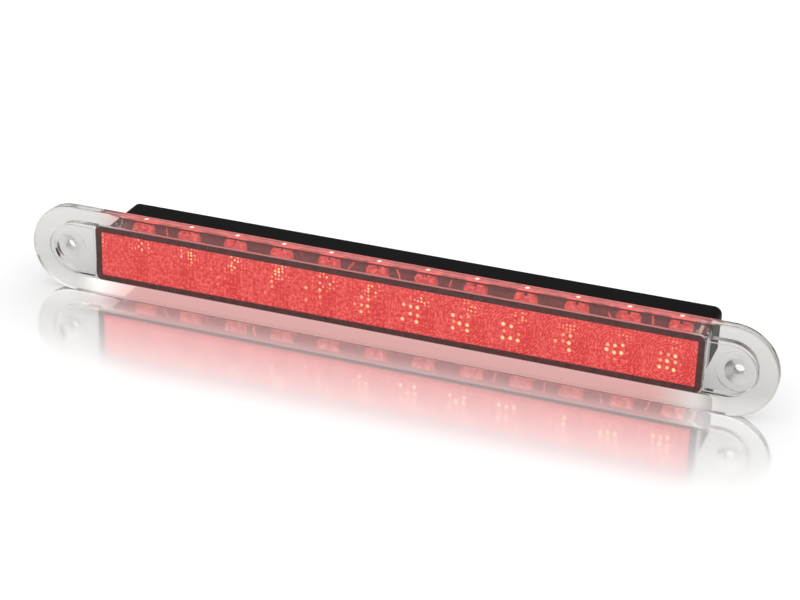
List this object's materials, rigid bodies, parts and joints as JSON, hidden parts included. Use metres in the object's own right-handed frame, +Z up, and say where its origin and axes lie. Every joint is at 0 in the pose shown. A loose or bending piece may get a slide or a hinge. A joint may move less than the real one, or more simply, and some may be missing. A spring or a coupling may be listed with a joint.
{
  "type": "third brake light",
  "caption": "Slim recess-mounted third brake light: clear obround flange with countersunk fixing holes, framed red lit window and black housing behind.",
  "frame": {"origin": "midway between the two fixing holes, in the plane of the flat back of the lens flange", "axes": "+X along the lamp, +Y into the vehicle panel (the lit window faces -Y), +Z up"},
  "size_m": [0.237, 0.0274, 0.0284],
  "materials": {
    "clear_plastic": "clear acrylic, polished, no tint",
    "optic_plastic": "clear ribbed acrylic, lit red from behind",
    "housing_plastic": "black moulded plastic, smooth satin",
    "bezel_plastic": "black moulded plastic, satin",
    "carrier_plastic": "dark moulded plastic",
    "collimator_plastic": "clear polycarbonate, lit red",
    "seal_rubber": "matt black rubber",
    "led_body": "white moulded package",
    "led_silicone": "clear silicone over a red emitter",
    "solder_tin": "tinned copper",
    "board_laminate": "white solder mask on glass-epoxy laminate",
    "screw_steel": "zinc-plated steel",
    "chip_epoxy": "black moulding compound",
    "capacitor_ceramic": "tan ceramic",
    "resistor_ceramic": "black glazed ceramic",
    "membrane_fabric": "white porous membrane"
  },
  "bodies": {
    "root": {"outer_lens": "clear_plastic", "bezel_frame": "bezel_plastic", "optic_strip": "optic_plastic", "light_box": "clear_plastic", "housing": "housing_plastic", "housing_seal": "seal_rubber", "collimators": "collimator_plastic", "lens_carrier": "carrier_plastic", "led_bodies": "led_body", "led_domes": "led_silicone", "led_tabs": "solder_tin", "circuit_board": "board_laminate", "board_screws": "screw_steel", "series_resistors": "resistor_ceramic", "filter_capacitors": "capacitor_ceramic", "reverse_diode": "chip_epoxy", "surge_suppressor": "chip_epoxy", "regulator_body": "chip_epoxy", "regulator_leads": "solder_tin", "wire_eyelets": "solder_tin", "cable_grommet": "seal_rubber", "breather_membrane": "membrane_fabric"}
  },
  "joints": []
}
